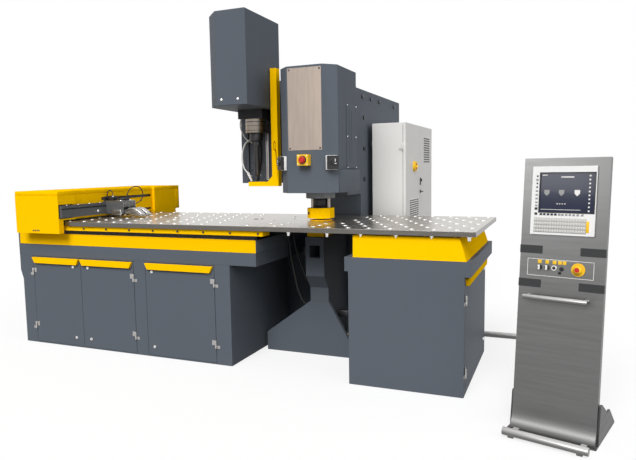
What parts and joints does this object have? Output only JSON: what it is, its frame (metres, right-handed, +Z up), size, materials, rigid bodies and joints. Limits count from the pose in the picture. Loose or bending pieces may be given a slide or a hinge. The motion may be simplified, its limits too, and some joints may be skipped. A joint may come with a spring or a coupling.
{
  "type": "cnc plate punching machine",
  "caption": "Plate punching machine: C-frame press head with drilling unit over a ball table, feed beam with gripper, cabinets and a standing operator console.",
  "frame": {"origin": "on the floor under the punch axis", "axes": "+X to the right along the table, +Y towards the back of the frame, +Z up along the punch axis"},
  "size_m": [4.7337, 3.0619, 2.657],
  "materials": {
    "dark_paint": "fine textured powder coat, blue-grey",
    "yellow_paint": "smooth powder coat, warm yellow",
    "light_paint": "textured powder coat, light grey",
    "table_steel": "ground plate",
    "bright_steel": "polished",
    "tool_steel": "blackened",
    "console_steel": "brushed lengthwise",
    "black_plastic": "matte",
    "grey_plastic": "satin",
    "screen_glass": "glossy, dark",
    "red_plastic": "glossy",
    "yellow_plastic": "satin"
  },
  "bodies": {
    "machine": {"base_plate": "dark_paint", "c_frame": "dark_paint", "lower_arm": "dark_paint", "die_holder": "yellow_paint", "die": "bright_steel", "head_cover": "dark_paint", "name_plate": "bright_steel", "side_covers": "dark_paint", "frame_bolts": "tool_steel", "stop_box": "yellow_plastic", "switch_boxes": "black_plastic", "guide_flanges": "tool_steel", "left_cabinet": "dark_paint", "left_ledge": "dark_paint", "left_fascia": "yellow_paint", "left_plate": "table_steel", "mid_plate": "table_steel", "right_plate": "table_steel", "ball_units": "bright_steel", "right_cabinet": "dark_paint", "right_skirt": "yellow_paint", "drill_housing": "dark_paint", "drill_back_plate": "table_steel", "drill_bracket": "dark_paint", "control_cabinet": "light_paint", "cabinet_brackets": "dark_paint", "conduit": "table_steel", "console_panel": "console_steel", "console_base": "console_steel", "console_bars": "bright_steel", "display_bezel": "grey_plastic", "display_screen": "screen_glass", "console_strips": "black_plastic", "stop_disc": "yellow_plastic", "hinge_pins": "bright_steel"},
    "ram": {"punch_ram": "tool_steel"},
    "stripper_unit": {"stripper": "yellow_paint"},
    "presser_unit": {"presser": "yellow_paint"},
    "quill": {"drill_quill": "bright_steel"},
    "spindle": {"drill_spindle": "tool_steel"},
    "beam": {"feed_beam": "yellow_paint", "beam_core": "dark_paint"},
    "gripper_carriage": {"gripper": "dark_paint"},
    "finger_front": {"jaw_front": "table_steel"},
    "finger_back": {"jaw_back": "table_steel"},
    "left_door_1": {"door_1": "dark_paint", "pull_1": "yellow_paint"},
    "left_door_2": {"door_2": "dark_paint", "pull_2": "yellow_paint"},
    "left_door_3": {"door_3": "dark_paint", "pull_3": "yellow_paint"},
    "side_door": {"right_door": "dark_paint", "right_pull": "yellow_paint"},
    "cabinet_door_1": {"control_door_1": "light_paint"},
    "cabinet_door_2": {"control_door_2": "light_paint"},
    "isolator": {"main_switch": "yellow_plastic"},
    "head_button": {"head_stop": "red_plastic"},
    "console_button": {"console_stop": "red_plastic"},
    "console_selector_1": {"selector_1": "black_plastic"},
    "console_selector_2": {"selector_2": "black_plastic"}
  },
  "joints": [
    {"name": "ram_stroke", "type": "slide", "parent": "machine", "child": "ram", "axis": [0, 0, 1], "range_m": [-0.055, 0]},
    {"name": "stripper_stroke", "type": "slide", "parent": "machine", "child": "stripper_unit", "axis": [0, 0, 1], "range_m": [-0.012, 0]},
    {"name": "presser_stroke", "type": "slide", "parent": "machine", "child": "presser_unit", "axis": [0, 0, 1], "range_m": [-0.24, 0]},
    {"name": "quill_feed", "type": "slide", "parent": "machine", "child": "quill", "axis": [0, 0, 1], "range_m": [-0.33, 0]},
    {"name": "spindle_turn", "type": "hinge", "parent": "quill", "child": "spindle", "pos_m": [-0.556, 0, 1.784], "axis": [0, 0, 1], "continuous": true},
    {"name": "beam_travel", "type": "slide", "parent": "machine", "child": "beam", "axis": [1, 0, 0], "range_m": [0, 0.9]},
    {"name": "gripper_travel", "type": "slide", "parent": "beam", "child": "gripper_carriage", "axis": [0, 1, 0], "range_m": [0, 0.5]},
    {"name": "finger_front_open", "type": "hinge", "parent": "gripper_carriage", "child": "finger_front", "pos_m": [-1.886, 0, 1.135], "axis": [0, -1, 0], "range_deg": [0, 22]},
    {"name": "finger_back_open", "type": "hinge", "parent": "gripper_carriage", "child": "finger_back", "pos_m": [-1.886, 0, 1.135], "axis": [0, -1, 0], "range_deg": [0, 22]},
    {"name": "door_1_swing", "type": "hinge", "parent": "machine", "child": "left_door_1", "pos_m": [-2.5005, -0.5505, 0], "axis": [0, 0, 1], "range_deg": [-105, 0]},
    {"name": "door_2_swing", "type": "hinge", "parent": "machine", "child": "left_door_2", "pos_m": [-1.4185, -0.5505, 0], "axis": [0, 0, 1], "range_deg": [0, 105]},
    {"name": "door_3_swing", "type": "hinge", "parent": "machine", "child": "left_door_3", "pos_m": [-0.6615, -0.5505, 0], "axis": [0, 0, 1], "range_deg": [0, 105]},
    {"name": "side_door_swing", "type": "hinge", "parent": "machine", "child": "side_door", "pos_m": [1.2185, -0.5645, 0], "axis": [0, 0, 1], "range_deg": [-75, 0]},
    {"name": "cabinet_door_1_swing", "type": "hinge", "parent": "machine", "child": "cabinet_door_1", "pos_m": [0.4725, 0.7425, 0], "axis": [0, 0, 1], "range_deg": [-95, 0]},
    {"name": "cabinet_door_2_swing", "type": "hinge", "parent": "machine", "child": "cabinet_door_2", "pos_m": [0.4725, 1.8495, 0], "axis": [0, 0, 1], "range_deg": [0, 110]},
    {"name": "isolator_turn", "type": "hinge", "parent": "cabinet_door_1", "child": "isolator", "pos_m": [0.497, 1.063, 1.495], "axis": [1, 0, 0], "range_deg": [0, 90]},
    {"name": "head_stop_press", "type": "slide", "parent": "machine", "child": "head_button", "axis": [0, -1, 0], "range_m": [-0.005, 0], "stiffness_N_per_m": 600},
    {"name": "console_stop_press", "type": "slide", "parent": "machine", "child": "console_button", "axis": [-0.2593, -0.9609, 0.0976], "range_m": [-0.005, 0], "stiffness_N_per_m": 600},
    {"name": "selector_1_turn", "type": "hinge", "parent": "machine", "child": "console_selector_1", "pos_m": [1.66343, -0.86423, 0.92158], "axis": [-0.2593, -0.9609, 0.0976], "range_deg": [-45, 45]},
    {"name": "selector_2_turn", "type": "hinge", "parent": "machine", "child": "console_selector_2", "pos_m": [1.70205, -0.87465, 0.92158], "axis": [-0.2593, -0.9609, 0.0976], "range_deg": [-45, 45]}
  ],
  "couplings": [
    {"joint": "finger_back_open", "follows": "finger_front_open", "ratio": 1}
  ]
}
